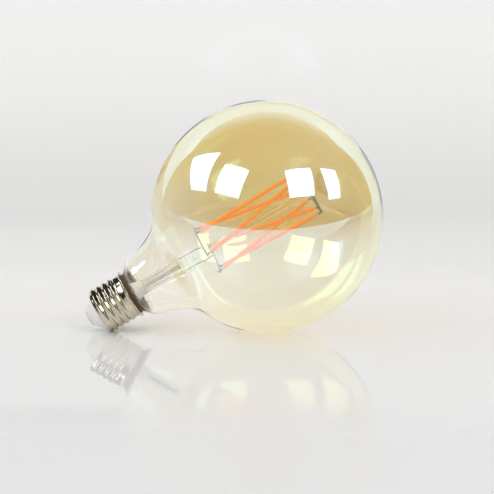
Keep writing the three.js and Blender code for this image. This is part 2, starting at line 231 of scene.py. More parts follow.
def swept(path, radius, sides=WIRE_SIDES, closed=False):
    """Points and faces of a round wire along a path, with domed ends unless it is closed."""
    path = [Vector(p) for p in path]
    count = len(path)
    points, faces = [], []
    normal = None
    rings = []
    for i, centre in enumerate(path):
        ahead = path[(i + 1) % count] if closed else path[min(i + 1, count - 1)]
        behind = path[i - 1] if closed or i else path[0]
        along = (ahead - behind).normalized()
        if normal is None:
            normal = along.orthogonal().normalized()
        normal = (normal - along * normal.dot(along)).normalized()
        rings.append((centre, radius, normal.copy(), along.cross(normal)))
    if not closed:
        rings = domed_end(rings[0], path[0] - path[1], radius) + rings
        rings += reversed(domed_end(rings[-1], path[-1] - path[-2], radius))
    for centre, size, u, v in rings:
        for side in range(sides):
            angle = 2 * math.pi * side / sides
            points.append(centre + (u * math.cos(angle) + v * math.sin(angle)) * size)
    spans = len(rings) if closed else len(rings) - 1
    for r in range(spans):
        low, high = r * sides, (r + 1) % len(rings) * sides
        for side in range(sides):
            nxt = (side + 1) % sides
            faces.append((low + side, low + nxt, high + nxt, high + side))
    if not closed:
        faces.append(tuple(reversed(range(sides))))
        faces.append(tuple(range(len(points) - sides, len(points))))
    return points, faces


def domed_end(ring, outwards, radius):
    """Shrinking rings beyond a wire's end, from its tip inwards."""
    centre, _, u, v = ring
    outwards = outwards.normalized()
    return [
        (centre + outwards * radius * height, radius * math.sqrt(1 - height**2), u, v)
        for height in (0.92, 0.7, 0.38)
    ]


def combined(*shapes):
    points, faces = [], []
    for shape_points, shape_faces in shapes:
        offset = len(points)
        points += shape_points
        faces += [tuple(offset + i for i in face) for face in shape_faces]
    return points, faces


def between(start, end):
    """Places a shape built along +z so that it runs from start towards end."""
    turn = Vector((0, 0, 1)).rotation_difference((end - start).normalized()).to_matrix()
    return lambda point: start + turn @ point


# ---------------------------------------------------------------- materials

# The gold film: where it starts and thickens, the tint of each wall and its mirror strength per colour
FILM_STARTS = 32.4
FILM_THICKENS = (40, 110)
GLASS_AT_NECK = (1.0, 0.995, 0.96)
GLASS_AT_GLOBE = (0.985, 0.995, 0.79)
FILM_IOR = 4.8
FILM_AT_NECK = (0.1, 0.15, 0.24)
FILM_AT_GLOBE = (0.28, 0.6, 1.0)
FILM_SHADOW = (1.0, 0.96, 0.84)
# The other glass
NECK_IOR = 1.5
NECK_SHADOW = (0.96, 0.95, 0.92)
CEMENT_FADES = (29.4, 31.4)
CEMENT_BROWN = (0.2, 0.14, 0.09)
BARE_GLASS = (0.98, 0.97, 0.94)
STEM_IOR = 1.25
STEM_SHADOW = (0.96, 0.96, 0.96)
FLARE_HAZE = 0.3
FLARE_CLEARS = (31, 39)
# The leads below the seal
PALE_LOWER_WIRE = (0.86, 0.85, 0.82)


def new_material(name):
    """A material with one Principled shader."""
    material = bpy.data.materials.new(name)
    material.use_nodes = True
    tree = material.node_tree
    tree.nodes.clear()
    output = tree.nodes.new("ShaderNodeOutputMaterial")
    shader = tree.nodes.new("ShaderNodeBsdfPrincipled")
    tree.links.new(shader.outputs["BSDF"], output.inputs["Surface"])
    return material, tree, shader


def add(tree, kind, inputs=(), **settings):
    """A node with its inputs set, each to a value or to another node's output."""
    node = tree.nodes.new("ShaderNode" + kind)
    for key, value in settings.items():
        setattr(node, key, value)
    for key, value in dict(inputs).items():
        if isinstance(value, bpy.types.NodeSocket):
            tree.links.new(value, node.inputs[key])
        else:
            node.inputs[key].default_value = value
    return node


def lamp_coordinates(tree):
    """A point's place in the lamp's own frame, in metres."""
    place = add(tree, "TexCoord").outputs["Object"]
    mapping = add(
        tree,
        "Mapping",
        {"Vector": place, "Location": TIP, "Rotation": LAMP.to_euler()},
        vector_type="TEXTURE",
    )
    return mapping.outputs["Vector"]


def noise(tree, vector, scale, detail=3, roughness=0.55):
    """Noise whose grains are scale to the millimetre."""
    inputs = {"Vector": vector, "Scale": scale / MM, "Detail": detail, "Roughness": roughness}
    return add(tree, "TexNoise", inputs).outputs["Fac"]


def spread(tree, value, low, high, from_low=0.3, from_high=0.7):
    inputs = {
        "Value": value,
        "From Min": from_low,
        "From Max": from_high,
        "To Min": low,
        "To Max": high,
    }
    return add(tree, "MapRange", inputs, interpolation_type="SMOOTHSTEP").outputs["Result"]


def along_lamp(tree, place, stretch, low=0, high=1):
    """A value that changes over a stretch of the lamp's axis, given in millimetres."""
    height = add(tree, "SeparateXYZ", {"Vector": place}).outputs["Z"]
    return spread(tree, height, low, high, *(z * MM for z in stretch))


def blend_colours(tree, factor, low, high):
    mix = tree.nodes.new("ShaderNodeMix")
    mix.data_type = "RGBA"
    tree.links.new(factor, mix.inputs[0])
    mix.inputs[6].default_value = (*low, 1)
    mix.inputs[7].default_value = (*high, 1)
    return mix.outputs[2]


def bump(tree, height, distance_mm, strength=1.0):
    inputs = {"Height": height, "Distance": distance_mm * MM, "Strength": strength}
    return add(tree, "Bump", inputs).outputs["Normal"]


def mottled(name, low, high, roughness, metallic=0.0, grain=0.8, relief=0.02, fine_grain=6.0):
    """A finish with soft changes of colour and gloss, and a fine relief."""
    material, tree, shader = new_material(name)
    place = lamp_coordinates(tree)
    patches = noise(tree, place, grain, detail=4)
    colour = blend_colours(tree, spread(tree, patches, 0, 1), low, high)
    tree.links.new(colour, shader.inputs["Base Color"])
    gloss = noise(tree, place, grain * 2.7, detail=3)
    tree.links.new(spread(tree, gloss, *roughness), shader.inputs["Roughness"])
    relief_height = noise(tree, place, fine_grain, detail=3)
    tree.links.new(bump(tree, relief_height, relief), shader.inputs["Normal"])
    shader.inputs["Metallic"].default_value = metallic
    return material


def let_light_through(tree, shader, tint):
    """The glass casts a tinted shadow instead of a solid one."""
    output = next(node for node in tree.nodes if node.type == "OUTPUT_MATERIAL")
    clear = add(tree, "BsdfTransparent", {"Color": (*tint, 1)}).outputs["BSDF"]
    in_shadow = add(tree, "LightPath").outputs["Is Shadow Ray"]
    mix = add(tree, "MixShader", {0: in_shadow, 1: shader.outputs["BSDF"], 2: clear})
    tree.links.new(mix.outputs["Shader"], output.inputs["Surface"])


def gold_film_glass():
    """Blown glass under a thin gold film that reflects the blue end more than the red end."""
    material, tree, shader = new_material("gold_film_glass")
    place = lamp_coordinates(tree)
    towards_globe = along_lamp(tree, place, FILM_THICKENS)
    film = blend_colours(tree, towards_globe, GLASS_AT_NECK, GLASS_AT_GLOBE)
    tree.links.new(film, shader.inputs["Base Color"])
    smear = noise(tree, place, 0.05, detail=2)
    tree.links.new(spread(tree, smear, 0.0, 0.012), shader.inputs["Roughness"])
    waves = noise(tree, place, 0.03, detail=1)
    tree.links.new(bump(tree, waves, 0.12), shader.inputs["Normal"])
    shader.inputs["Transmission Weight"].default_value = 1
    shader.inputs["IOR"].default_value = FILM_IOR
    mirror = blend_colours(tree, towards_globe, FILM_AT_NECK, FILM_AT_GLOBE)
    tree.links.new(mirror, shader.inputs["Specular Tint"])
    let_light_through(tree, shader, FILM_SHADOW)
    return material


def neck_glass():
    """The bare end of the neck, below the film, with the cement showing through next to the cap."""
    material, tree, shader = new_material("bare_neck_glass")
    place = lamp_coordinates(tree)
    height = add(tree, "SeparateXYZ", {"Vector": place}).outputs["Z"]
    mottle = spread(tree, noise(tree, place, 0.5, detail=4), -0.8 * MM, 0.8 * MM)
    uneven = add(tree, "Math", {0: height, 1: mottle}, operation="ADD").outputs[0]
    clear = spread(tree, uneven, 0, 1, *(z * MM for z in CEMENT_FADES))
    tint = blend_colours(tree, clear, CEMENT_BROWN, BARE_GLASS)
    tree.links.new(tint, shader.inputs["Base Color"])
    tree.links.new(spread(tree, clear, 0.5, 0.01, 0, 1), shader.inputs["Roughness"])
    tree.links.new(bump(tree, noise(tree, place, 0.2), 0.04), shader.inputs["Normal"])
    tree.links.new(clear, shader.inputs["Transmission Weight"])
    shader.inputs["IOR"].default_value = NECK_IOR
    let_light_through(tree, shader, NECK_SHADOW)
    return material


def drawn_glass():
    """Clear tube and rod glass with faint drawing lines, hazy at the flare."""
    material, tree, shader = new_material("drawn_glass")
    place = lamp_coordinates(tree)
    streaks = add(tree, "Mapping", {"Vector": place, "Scale": (1, 1, 0.08)}).outputs["Vector"]
    tint = blend_colours(tree, noise(tree, place, 0.1), (0.95, 0.95, 0.93), (0.98, 0.98, 0.96))
    tree.links.new(tint, shader.inputs["Base Color"])
    clarity = along_lamp(tree, place, FLARE_CLEARS, FLARE_HAZE, 1)
    tree.links.new(clarity, shader.inputs["Transmission Weight"])
    tree.links.new(spread(tree, noise(tree, place, 0.3), 0.0, 0.03), shader.inputs["Roughness"])
    tree.links.new(bump(tree, noise(tree, streaks, 0.9), 0.03), shader.inputs["Normal"])
    shader.inputs["IOR"].default_value = STEM_IOR
    let_light_through(tree, shader, STEM_SHADOW)
    return material


def phosphor_coat():
    """Orange phosphor in silicone, with a faint painted glow."""
    material = mottled(
        "phosphor_coat",
        low=(0.95, 0.34, 0.002),
        high=(1.0, 0.44, 0.006),
        roughness=(0.35, 0.5),
        grain=0.5,
        relief=0.03,
        fine_grain=3,
    )
    tree = material.node_tree
    shader = tree.nodes["Principled BSDF"]
    shader.inputs["Specular IOR Level"].default_value = 0.05
    # Painted glow: the unlit strips get a faint orange emission that brightens them.
    shader.inputs["Emission Color"].default_value = (1, 0.36, 0.002, 1)
    shader.inputs["Emission Strength"].default_value = 0.3
    return material


def plated_cap():
    """Rolled nickel-plated sheet: fine turning lines and faint handling marks."""
    material, tree, shader = new_material("plated_cap")
    place = lamp_coordinates(tree)
    tarnish = noise(tree, place, 0.35, detail=4)
    colour = blend_colours(tree, spread(tree, tarnish, 0, 1), (0.6, 0.55, 0.44), (0.76, 0.71, 0.6))
    tree.links.new(colour, shader.inputs["Base Color"])
    lines = add(tree, "Mapping", {"Vector": place, "Scale": (0.15, 0.15, 6)}).outputs["Vector"]
    marks = noise(tree, lines, 1.2, detail=3)
    tree.links.new(spread(tree, marks, 0.1, 0.2), shader.inputs["Roughness"])
    tree.links.new(bump(tree, marks, 0.008), shader.inputs["Normal"])
    shader.inputs["Metallic"].default_value = 1
    return material


def nickel_wire():
    """Dull nickel above the seal, and paler, less metallic lead wire below it."""
    material = mottled(
        "nickel_wire",
        low=(0.24, 0.23, 0.21),
        high=(0.38, 0.37, 0.34),
        roughness=(0.35, 0.5),
        metallic=1.0,
        grain=1.5,
    )
    tree = material.node_tree
    shader = tree.nodes["Principled BSDF"]
    above = along_lamp(tree, lamp_coordinates(tree), (PRESS_TOP - 1, PRESS_TOP + 1))
    dull = shader.inputs["Base Color"].links[0].from_socket
    colour = tree.nodes.new("ShaderNodeMix")
    colour.data_type = "RGBA"
    tree.links.new(above, colour.inputs[0])
    colour.inputs[6].default_value = (*PALE_LOWER_WIRE, 1)
    tree.links.new(dull, colour.inputs[7])
    tree.links.new(colour.outputs[2], shader.inputs["Base Color"])
    tree.links.new(spread(tree, above, 0.3, 1, 0, 1), shader.inputs["Metallic"])
    return material


SLOT_OF = {row["node"]: row["material_slot"] for row in frame["record"]["subparts"]}

FINISHES = {
    "amber_glass": gold_film_glass(),
    "clear_glass": drawn_glass(),
    "phosphor": phosphor_coat(),
    "nickel_plate": plated_cap(),
    "nickel_wire": nickel_wire(),
}

# Slot: name, darker colour, lighter colour, roughness, and where they differ metallic, grain and relief
PLAIN_FINISHES = {
    "tin": ("tinned_brass", (0.84, 0.83, 0.81), (0.92, 0.92, 0.9), (0.35, 0.5), 0.85, 0.9),
    "white_glass": ("white_cap_glass", (0.94, 0.94, 0.93), (0.97, 0.97, 0.96), (0.12, 0.25), 0, 0.3),
    "cement": ("basing_cement", (0.1, 0.075, 0.05), (0.2, 0.16, 0.11), (0.75, 0.95), 0, 1.2, 0.15),
    "circuit_board": ("circuit_board", (0.01, 0.09, 0.04), (0.02, 0.14, 0.06), (0.3, 0.5)),
    "black_plastic": ("black_plastic", (0.012, 0.012, 0.013), (0.03, 0.03, 0.032), (0.4, 0.6)),
    "ferrite": ("ferrite", (0.03, 0.03, 0.032), (0.06, 0.058, 0.06), (0.6, 0.85), 0, 1.5, 0.05),
    "copper": ("copper_wire", (0.72, 0.3, 0.16), (0.85, 0.42, 0.25), (0.25, 0.4), 1.0),
    "capacitor_can": ("aluminium_can", (0.5, 0.52, 0.55), (0.66, 0.68, 0.7), (0.25, 0.4), 1.0),
    "resistor_body": ("resistor_body", (0.2, 0.3, 0.42), (0.28, 0.38, 0.5), (0.5, 0.7)),
    "red_insulation": ("red_insulation", (0.38, 0.03, 0.02), (0.5, 0.06, 0.04), (0.4, 0.6)),
    "black_insulation": ("black_insulation", (0.015, 0.015, 0.017), (0.04, 0.04, 0.042), (0.4, 0.6)),
    "white_sleeve": ("white_sleeve", (0.66, 0.63, 0.56), (0.78, 0.76, 0.7), (0.6, 0.8), 0, 0.8, 0.06),
}
FINISHES |= {slot: mottled(*recipe) for slot, recipe in PLAIN_FINISHES.items()}


def fine_piece(name, shape, node, crease_angle=40):
    points, faces = shape
    return make_piece(name, points, faces, FINISHES[SLOT_OF[node]], node, crease_angle)


# ---------------------------------------------------------------- glass

def neck_outline():
    """The neck's outer profile from the cap to the globe."""
    def on_globe(z):
        return (math.sqrt(GLOBE_RADIUS**2 - (GLOBE_CENTRE - z) ** 2), z)

    points = [
        (NECK_RADIUS, NECK_LEAVES_CAP),
        (NECK_RADIUS + 1.6, NECK_LEAVES_CAP + 1.7),
        (15.8, 32.2),
        (18.2, 39),
        (21.6, 48),
        (26.2, 55),
        on_globe(GLOBE_STARTS),
    ]
    before = (NECK_RADIUS, NECK_LEAVES_CAP - 3)
    return smooth_curve(points, 8, before, on_globe(GLOBE_STARTS + 8))


def globe_outline(radius):
    """Globe arc from where the neck runs in to the far pole."""
    start = -math.degrees(math.asin((GLOBE_CENTRE - GLOBE_STARTS) / radius))
    outline = arc((0, GLOBE_CENTRE), radius, start, 90, GLOBE_ROWS)
    outline[-1] = (0, GLOBE_CENTRE + radius)
    return outline


def inset(outline, wall):
    """The outline moved inwards by one even wall."""
    points = [Vector(p) for p in outline]
    moved = []
    for i, point in enumerate(points):
        along = (points[min(i + 1, len(points) - 1)] - points[max(i - 1, 0)]).normalized()
        moved.append(point + Vector((-along.y, along.x)) * wall)
    return moved


def glass_envelope():
    outside = [*neck_outline(), *globe_outline(GLOBE_RADIUS)[1:]]
    inside = inset(outside[1:-1], GLASS_WALL)
    bore = NECK_RADIUS - GLASS_WALL
    loop = [
        (0, OVERALL_LENGTH - GLASS_WALL),
        *reversed(inside),
        (bore, NECK_LEAVES_CAP - 1),
        (bore, NECK_END),
        (NECK_RADIUS, NECK_END),
        *outside,
    ]
    globe = fine_piece("blown_globe", turned(loop, GLOBE_SIDES), "glass_envelope")
    globe.data.materials.append(neck_glass())
    globe.visible_diffuse = False
    for face in globe.data.polygons:
        height = (LAMP.inverted() @ face.center).z
        face.material_index = int(height < FILM_STARTS * MM)


def stem():
    bell = NECK_RADIUS - GLASS_WALL - GAP
    mouth = NECK_END + 0.2
    outer_points = [(bell, mouth + 0.7), (7.4, 25.2), (5.4, 28.6), (4.4, 32.6)]
    outer_points += [(STEM_RADIUS, 38), (STEM_RADIUS, 51), (STEM_RADIUS + 1, STEM_TOP)]
    inner_points = [(bell - 0.8, mouth), (6.8, 24.6), (4.7, 28.2), (3.6, 32.4)]
    inner_points += [(STEM_BORE, 38), (STEM_BORE, 51), (STEM_BORE + 1.1, STEM_TOP)]
    outer, inner = smooth_curve(outer_points, 6), smooth_curve(inner_points, 6)
    loop = [*outer, *reversed(inner), (bell, mouth), outer[0]]
    fine_piece("flared_stem_tube", turned(loop, FINE_SIDES), "stem_flare_tube")


def pumping_tube():
    tip = 17
    top = STEM_TOP - 0.4
    bore, radius = 1, 1.7
    outside = [(0, tip), (1.1, tip + 0.4), (radius, tip + 2), (radius, top)]
    inside = [(bore, top), (bore, tip + 2.4), (0, tip + 1.6)]
    fine_piece("pumping_tube", turned(rounded([*outside, *inside], 0.5), 32), "exhaust_tube")


def glass_rod():
    rod_start = PRESS_TOP + GAP
    rod_end = UPPER_CROWN + 3
    rod = [
        (0, rod_start),
        (2.2, rod_start),
        (ROD_RADIUS, rod_start + 2.2),
        (ROD_RADIUS, rod_end - 1.4),
        (ROD_RADIUS * 0.8, rod_end - 0.3),
        (0, rod_end),
    ]
    fine_piece("glass_rod", turned(rounded(rod, 0.7), 40), "centre_rod")


def pinched_section(half_width, half_thickness, sides):
    """A rounded oblong, as the pinching jaws leave it."""
    squareness = 0.55
    section = []
    for side in range(sides):
        angle = 2 * math.pi * side / sides
        x, y = math.cos(angle), math.sin(angle)
        section.append((
            half_width * math.copysign(abs(x) ** squareness, x),
            half_thickness * math.copysign(abs(y) ** squareness, y),
        ))
    return section


def press():
    """The stem's flattened seal: nearly round below, pinched flat above, with softened edges."""
    start = STEM_TOP + GAP
    height = PRESS_TOP - start
    sides = 56
    # Each level's share of the height, and its width and thickness against the full ones
    levels = (
        (0, 0.82, 1.5), (0.03, 0.9, 1.75), (0.12, 0.96, 1.6), (0.3, 1, 1.1), (0.5, 1, 1), (0.8, 1, 1),
        (0.92, 0.98, 0.98), (0.98, 0.93, 0.85), (1, 0.84, 0.6),
    )
    points, faces = [], []
    for share, width, thickness in levels:
        section = pinched_section(PRESS_HALF_WIDTH * width, PRESS_HALF_THICKNESS * thickness, sides)
        points += [(x, y, start + height * share) for x, y in section]
    for r in range(len(levels) - 1):
        for side in range(sides):
            nxt = (side + 1) % sides
            low, high = r * sides, (r + 1) * sides
            faces.append((low + side, low + nxt, high + nxt, high + side))
    faces.append(tuple(reversed(range(sides))))
    faces.append(tuple(range(len(points) - sides, len(points))))
    fine_piece("pinched_seal", (points, faces), "stem_press", 60)


# ---------------------------------------------------------------- light source

def crown_arc(radius, z, start_degrees, end_degrees, steps):
    return [
        polar(radius, start_degrees + (end_degrees - start_degrees) * i / steps, z)
        for i in range(steps + 1)
    ]


def lower_crown():
    """Two half rings, one for each pole, from one angle to another."""
    for pole, start, end in (("a", 146, 274), ("b", -34, 94)):
        path = crown_arc(LOWER_CROWN_RADIUS, LOWER_CROWN, start, end, 48)
        fine_piece(f"half_ring_{pole}", swept(path, CROWN_WIRE_RADIUS), f"lower_crown_{pole}")


def upper_crown():
    """A closed ring with three spokes to a collar round the rod."""
    ring = crown_arc(UPPER_CROWN_RADIUS, UPPER_CROWN, 0, 360, 96)[:-1]
    bore = ROD_RADIUS + GAP
    low, high = UPPER_CROWN - 0.7, UPPER_CROWN + 0.7
    collar = [(bore, low), (bore + 0.7, low), (bore + 0.7, high), (bore, high), (bore, low)]
    spokes = []
    for degrees in (15, 135, 255):
        ends = [polar(radius, degrees, UPPER_CROWN) for radius in (bore + 0.35, UPPER_CROWN_RADIUS)]
        spokes.append(swept(ends, CROWN_WIRE_RADIUS * 0.8))
    shape = combined(swept(ring, CROWN_WIRE_RADIUS, closed=True), turned(collar, 32), *spokes)
    fine_piece("spoked_ring", shape, "upper_crown")


def leads():
    """From the driver board up the stem, through the seal and out to each half ring."""
    # Each pole's side of the stem, its foot and bend above the board, and its angle at the half ring
    routes = {"a": (-1, (-5.6, -2.4), (-4.2, -1.6), 249), "b": (1, (3.6, -3.8), (3.2, -2), 65)}
    for pole, (side, foot, bend, degrees) in routes.items():
        end = polar(LOWER_CROWN_RADIUS - 0.5, degrees, LOWER_CROWN - 1)
        in_stem = side * 2.6
        in_press = side * 3.6
        from_board = [(*foot, BOARD_TOP + GAP), (*foot, 13.6), (*foot, 15.6), (*bend, 18.2)]
        up_stem = [(in_stem, 0, z) for z in (22, 30, 50)]
        through_seal = [(in_press, 0, z) for z in (STEM_TOP, STEM_TOP + 3, PRESS_TOP + 0.5)]
        outwards = (end.x * 0.55 + side * 1.8, end.y * 0.45, LOWER_CROWN - 5)
        route = smooth_curve([*from_board, *up_stem, *through_seal, outwards, end], 8)
        fine_piece(f"supply_lead_{pole}", swept(route, LEAD_RADIUS), f"lead_wire_{pole}")


def strip_outline(length):
    """A coated strip: silicone rises a little over each chip row and necks in between."""
    start, end = FILAMENT_TAIL, length - FILAMENT_TAIL
    straight = end - start - 2
    rows = int(straight / CHIP_PITCH * 6)
    body = []
    for i in range(rows + 1):
        z = start + 1 + straight * i / rows
        swell = CHIP_SWELL * math.cos(2 * math.pi * (z - start) / CHIP_PITCH)
        body.append((FILAMENT_RADIUS - CHIP_SWELL + swell, z))
    low = [(0, start), (0.5, start + 0.02), (0.85, start + 0.25), (1, start + 0.6)]
    high = [(r, start + end - z) for r, z in reversed(low)]
    return [*low, *body, *high]


def tail_outline():
    """Bare strip end with the weld bead beside the crown wire."""
    start = CROWN_WIRE_RADIUS + GAP
    end = FILAMENT_TAIL - GAP
    bead = arc((0, start + 0.6), 0.62, -75, 62, 8)
    return [(0, bead[0][1]), *bead, (0.3, start + 1.3), (0.3, end - 0.1), (0.2, end), (0, end)]


def filaments():
    for i in range(FILAMENTS):
        angle = FILAMENT_FIRST_ANGLE + 360 * i / FILAMENTS
        low = polar(LOWER_CROWN_RADIUS, angle, LOWER_CROWN)
        high = polar(UPPER_CROWN_RADIUS, angle + FILAMENT_TWIST, UPPER_CROWN)
        strip = turned(strip_outline((high - low).length), 24, between(low, high))
        fine_piece(f"light_strip_{i + 1}", strip, f"filament_{i + 1}")
        low_tail = turned(tail_outline(), 16, between(low, high))
        fine_piece(f"strip_foot_{i + 1}", low_tail, f"lower_tail_{i + 1}")
        high_tail = turned(tail_outline(), 16, between(high, low))
        fine_piece(f"strip_head_{i + 1}", high_tail, f"upper_tail_{i + 1}")


# ---------------------------------------------------------------- cap

def smoothstep(value, low, high):
    t = min(max((value - low) / (high - low), 0), 1)
    return t * t * (3 - 2 * t)


def shell_radius(z, degrees):
    """Outer radius of the screw shell at a height and an angle, thread included."""
    middle = (THREAD_CREST + THREAD_ROOT) / 2
    edge = THREAD_BORE + (middle - THREAD_BORE) * smoothstep(z, SHELL_START - 0.6, SHELL_START + 1.2)
    body = edge + (SKIRT_RADIUS - edge) * smoothstep(z, SKIRT_START - 0.8, SKIRT_START + 0.8)
    run_in = smoothstep(z, SHELL_START, SHELL_START + 2)
    run_out = 1 - smoothstep(z, SKIRT_START - 1.2, SKIRT_START + 0.4)
    depth = (THREAD_CREST - THREAD_ROOT) / 2 * run_in * run_out
    turn = (z - THREAD_FIRST_CREST) / THREAD_PITCH + 0.5 - degrees / 360
    return body + depth * math.cos(2 * math.pi * turn)


def screw_shell():
    """Rolled sheet shell: thread, smooth skirt, turned-out lip and a plain bore."""
    threaded_end = SKIRT_START + 1
    rows = 72
    levels = [SHELL_START + (threaded_end - SHELL_START) * i / rows for i in range(rows + 1)]
    lip_end = LIP + LIP_THICKNESS
    skirt = [(SKIRT_RADIUS, threaded_end), (SKIRT_RADIUS, LIP - 0.9), (SKIRT_RADIUS + 0.35, LIP - 0.3)]
    lip = [(LIP_RADIUS - 0.1, LIP), (LIP_RADIUS, LIP + LIP_THICKNESS / 2), (LIP_RADIUS - 0.15, lip_end)]
    mouth = [(SKIRT_BORE + 1, lip_end), (SKIRT_BORE, LIP - 0.2), (SKIRT_BORE, SKIRT_START + 0.4)]
    bore = [(THREAD_BORE, SKIRT_START), (THREAD_BORE - 0.2, SHELL_START)]
    plain = rounded([*skirt, *lip, *mouth, *bore], 0.25)[1:]
    points, faces = [], []
    for z in levels:
        for side in range(CAP_SIDES):
            degrees = 360 * side / CAP_SIDES
            points.append(polar(shell_radius(z, degrees), degrees, z))
    for radius, z in plain:
        points += [polar(radius, 360 * side / CAP_SIDES, z) for side in range(CAP_SIDES)]
    count = len(levels) + len(plain)
    for r in range(count):
        low, high = r * CAP_SIDES, (r + 1) % count * CAP_SIDES
        for side in range(CAP_SIDES):
            nxt = (side + 1) % CAP_SIDES
            faces.append((low + side, low + nxt, high + nxt, high + side))
    fine_piece("rolled_screw_shell", (points, faces), "screw_shell", 50)


def cap_glass():
    """White glass cone between the shell and the contact, hollow behind."""
    face = 0.86
    bore = 1.3
    rim = THREAD_BORE - 0.2 - GAP
    outside = [(bore, 3), (bore, face), (CONTACT_RADIUS + 0.5, face), (6.2, 2.2), (8.9, 4.9), (10.6, 6.5)]
    inside = [(rim, 7.5), (rim, 8.4), (rim - 1, 8.4), (6.5, 6.8), (3, 4.6), (bore, 4.6), (bore, 3)]
    fine_piece("cap_glass", turned(rounded([*outside, *inside], 0.45), 120), "cap_insulator", 60)


def contact_plate():
    """Flat plate with a dished centre, and its rivet into the cap."""
    rivet = 1
    back = 0.8
    face = [(0, 0.12), (1.5, 0.12), (1.8, 0), (CONTACT_RADIUS - 0.7, 0), (CONTACT_RADIUS - 0.2, 0.25)]
    behind = [(CONTACT_RADIUS, back), (rivet, back), (rivet, 3.4), (0, 3.4)]
    fine_piece("contact_plate", turned(rounded([*face, *behind], 0.2), 64), "centre_contact", 50)


def cement_ring():
    inner, outer = NECK_RADIUS + GAP, SKIRT_BORE - GAP
    start, end = SKIRT_START + 1, NECK_LEAVES_CAP
    middle = (outer, 24)
    ring = [middle, (outer, end), (inner, end), (inner, start), (outer, start), middle]
    fine_piece("cement_ring", turned(rounded(ring, 0.15), 96), "basing_cement", 50)


glass_envelope()
stem()
pumping_tube()
glass_rod()
press()
lower_crown()
upper_crown()
leads()
filaments()
screw_shell()
cap_glass()
contact_plate()
cement_ring()

for name, node in frame["nodes"].items():
    if not node.hide_render:
        node.data.materials.clear()
        node.data.materials.append(FINISHES[SLOT_OF[name]])


# ---------------------------------------------------------------- table, room and light

FLOOR_LEVEL = cad_low.z
FLOOR_FRONT = -1.13
FLOOR_REACH = 30
GLOBE = LAMP @ Vector((0, 0, GLOBE_CENTRE * MM))

# The sweep behind the lamp
SWEEP_LEAD_IN = 0.05
SWEEP_START = 0.15
SWEEP_RADIUS = 0.12
SWEEP_HEIGHT = 0.42
SWEEP_HALF_WIDTH = 0.42
SWEEP_LIFT = 0.05 * MM

# The white board: its colour and glow change over CARD_FADE of height, its polish over a stretch of Y.
# CARD_LIFT is the extra glow in reflections and through the glass.
BOARD_COLOUR = (0.745, 0.746, 0.75)
CARD_TOP_COLOUR = (0.86, 0.86, 0.86)
CARD_FADE = 0.14
CARD_GLOW = 0.24
CARD_LIFT = 0.05
FAR_GLOW = 0.35
FAR_GLOW_STRETCH = (0.6, 4)
POLISH = (-0.27, -0.1)
ROUGHNESS_OF_POLISH = (0.3, 0.028)
SHINE_OF_POLISH = (0.03, 0.36)

# The room, as greys of the world's light, and how far it pales when seen through the glass
ROOM_GREY = 0.03
ROOM_THROUGH_GLASS = 0.45
BACKDROP_GREY = 0.83
BACKDROP_EDGE = (0.6, 0.82)
BACKDROP_EDGE_OVERHEAD = 0.35
OVERHEAD_STRETCH = (0.1, 0.8)

# Lights
CEILING_HEIGHT = 5
CEILING_SIZE = 8
CEILING_POWER = 207
PANEL_DISTANCE = 12
PANEL_STRENGTH = 3.5
# Each panel's corners, as azimuth to the right of the camera's side and elevation, from the globe
PANELS = {
    "far_left": ((-115, 34), (-92, 54), (-69, 24), (-88, 20)),
    "near_left": ((-66, 50), (-27, 53), (-31, 26), (-58, 26)),
    "near_right": ((27, 53), (64, 48), (52, 25), (24, 26)),
    "far_right": ((77, 43), (93, 34), (81, 16), (67, 18)),
}

# The black card over the cap
FLAG_LEFT, FLAG_RIGHT = -0.2, -0.063
FLAG_FRONT, FLAG_BACK = 0.0, 0.24
FLAG_HEIGHT = 0.048
FLAG_RISE = 0.36

CAMERA_ELEVATION = 10
CAMERA_DISTANCE = 1.3
CAMERA_LENS = 175
# How far the picture's centre lies to the right of the globe's centre and above it
FRAMING_RIGHT, FRAMING_UP = -0.0107, -0.0165


def stage_mesh(name, points, faces, material):
    mesh = bpy.data.meshes.new(name)
    mesh.from_pydata(points, [], faces)
    stage_object = bpy.data.objects.new(name, mesh)
    bpy.context.scene.collection.objects.link(stage_object)
    stage_object.data.materials.append(material)
    return stage_object


def white_card(name):
    """White board, polished under the lamp and duller in front, brighter with height and far away.

    It is a little brighter in reflections and through the glass than it is seen straight.
    """
    material, tree, shader = new_material(name)
    place = add(tree, "TexCoord").outputs["Object"]
    parts = add(tree, "SeparateXYZ", {"Vector": place}).outputs
    rise = spread(tree, parts["Z"], 0, 1, 0, CARD_FADE)
    colour = blend_colours(tree, rise, BOARD_COLOUR, CARD_TOP_COLOUR)
    tree.links.new(colour, shader.inputs["Base Color"])
    polish = spread(tree, parts["Y"], 0, 1, *POLISH)
    tree.links.new(spread(tree, polish, *ROUGHNESS_OF_POLISH, 0, 1), shader.inputs["Roughness"])
    tree.links.new(spread(tree, polish, *SHINE_OF_POLISH, 0, 1), shader.inputs["Specular IOR Level"])
    with_height = spread(tree, parts["Z"], 0, CARD_GLOW, 0, CARD_FADE)
    seen = add(tree, "LightPath").outputs["Is Camera Ray"]
    in_glass = spread(tree, seen, CARD_LIFT, 0, 0, 1)
    distance = add(tree, "VectorMath", {"Vector": place}, operation="LENGTH").outputs["Value"]
    far_away = spread(tree, distance, 0, FAR_GLOW, *FAR_GLOW_STRETCH)
    near = add(tree, "Math", {0: with_height, 1: in_glass}, operation="ADD").outputs[0]
    total = add(tree, "Math", {0: near, 1: far_away}, operation="ADD").outputs[0]
    shader.inputs["Emission Color"].default_value = (1, 1, 1, 1)
    tree.links.new(total, shader.inputs["Emission Strength"])
    return material, tree, shader


def table():
    material = white_card("table_top")[0]
    far, near = FLOOR_REACH, FLOOR_FRONT
    points = [(x, y, FLOOR_LEVEL) for x, y in ((-far, near), (far, near), (far, far), (-far, far))]
    stage_mesh("table", points, [(0, 1, 2, 3)], material)


